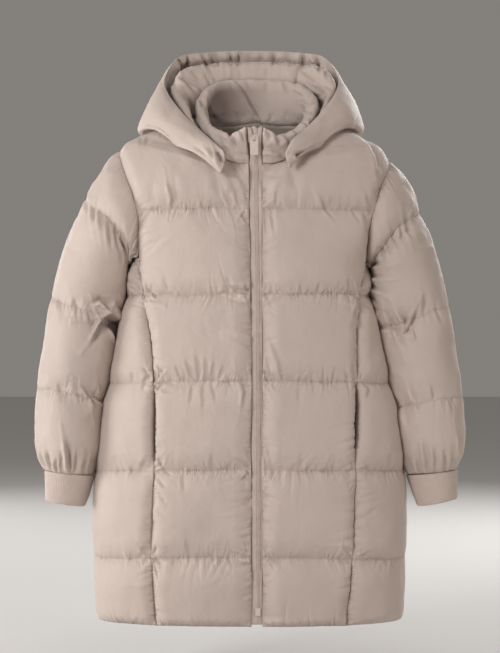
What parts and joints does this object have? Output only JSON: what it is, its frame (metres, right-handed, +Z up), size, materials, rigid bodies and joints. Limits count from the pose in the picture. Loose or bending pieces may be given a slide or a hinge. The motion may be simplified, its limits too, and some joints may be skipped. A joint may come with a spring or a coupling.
{
  "type": "long hooded puffer coat",
  "caption": "Long quilted puffer coat, zipped up and hollow, with a padded stand collar, folded-back hood, rib-knit cuffs and a full-length front zip whose pull tab swings.",
  "frame": {"origin": "midway between the shoulders, level with the neck seam at the front, where the wearer's shoulders carry the coat", "axes": "+Z up, -Y the way the front faces, +X to the viewer's right when looking at the front"},
  "size_m": [0.7472, 0.3633, 1.0128],
  "materials": {
    "padded_shell": "woven polyester shell, soft satin, taupe",
    "rib_knit": "rib knit, matte, taupe",
    "zip_tape": "woven tape, matte, taupe",
    "zip_coil": "smooth, taupe",
    "painted_zip": "satin paint, taupe"
  },
  "bodies": {
    "coat": {"front_panel_l": "padded_shell", "front_panel_r": "padded_shell", "side_front_l": "padded_shell", "side_front_r": "padded_shell", "back_panel": "padded_shell", "sleeve_l": "padded_shell", "sleeve_r": "padded_shell", "cuff_l": "rib_knit", "cuff_r": "rib_knit", "collar": "padded_shell", "hood_side_l": "padded_shell", "hood_side_r": "padded_shell", "hood_centre": "padded_shell", "zip_tape_l": "zip_tape", "zip_tape_r": "zip_tape", "zip_coil": "zip_coil", "zip_stop": "painted_zip", "zip_slider": "painted_zip"},
    "pull_tab": {"zip_pull_tab": "painted_zip"}
  },
  "joints": [
    {"name": "tab_hinge", "type": "hinge", "parent": "coat", "child": "pull_tab", "pos_m": [0.0035, -0.1048, 0.0108], "axis": [-1, 0, 0], "range_deg": [0, 150]}
  ]
}
